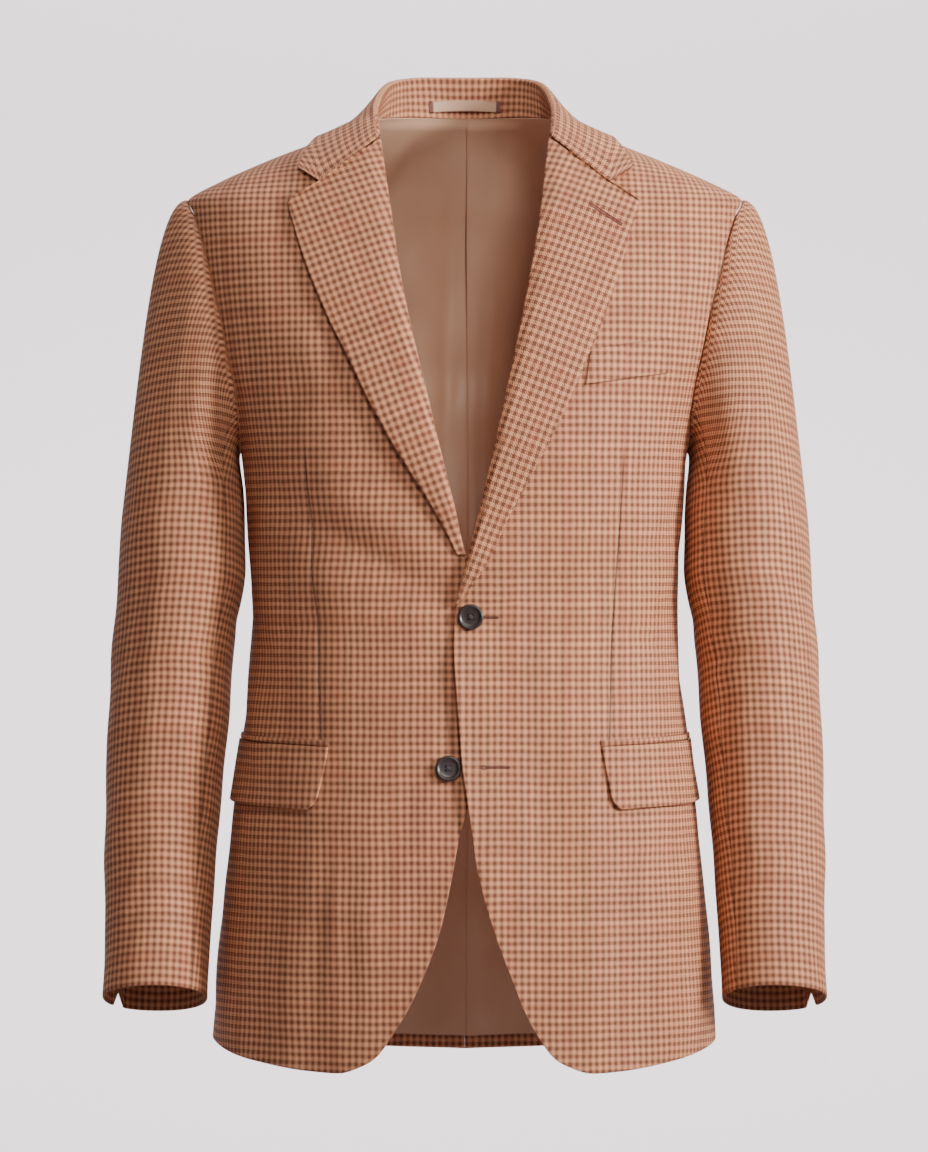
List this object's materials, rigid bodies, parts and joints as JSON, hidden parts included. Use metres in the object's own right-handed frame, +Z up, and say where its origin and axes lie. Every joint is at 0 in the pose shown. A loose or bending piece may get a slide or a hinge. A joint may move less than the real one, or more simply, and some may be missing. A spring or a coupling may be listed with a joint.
{
  "type": "tailored linen jacket, worn form",
  "caption": "Single-breasted check jacket filled out as worn and hollow, with notch lapels, flap pockets, open cuffs and hem.",
  "frame": {"origin": "midway between the two points where the shoulder seams meet the neck, at the height where the wearer's shoulders and neck carry it", "axes": "+Z up, -Y the jacket's front, +X the wearer's left"},
  "size_m": [0.578, 0.2804, 0.7996],
  "materials": {
    "linen": "matt two-tone check in linen",
    "satin": "soft satin lining",
    "button": "dark horn-like resin, satin polish"
  },
  "bodies": {
    "root": {"front_left": "linen", "front_right": "linen", "side_left": "linen", "side_right": "linen", "back_left": "linen", "back_right": "linen", "sleeve_top_left": "linen", "sleeve_top_right": "linen", "sleeve_under_left": "linen", "sleeve_under_right": "linen", "lapel_left": "linen", "lapel_right": "linen", "collar_leaf": "linen", "collar_stand": "linen", "pocket_flap_left": "linen", "pocket_flap_right": "linen", "pocket_jet_left": "linen", "pocket_jet_right": "linen", "chest_welt": "linen", "lining_left": "satin", "lining_right": "satin", "hanger_loop": "satin", "button_upper": "button", "button_lower": "button"}
  },
  "joints": []
}
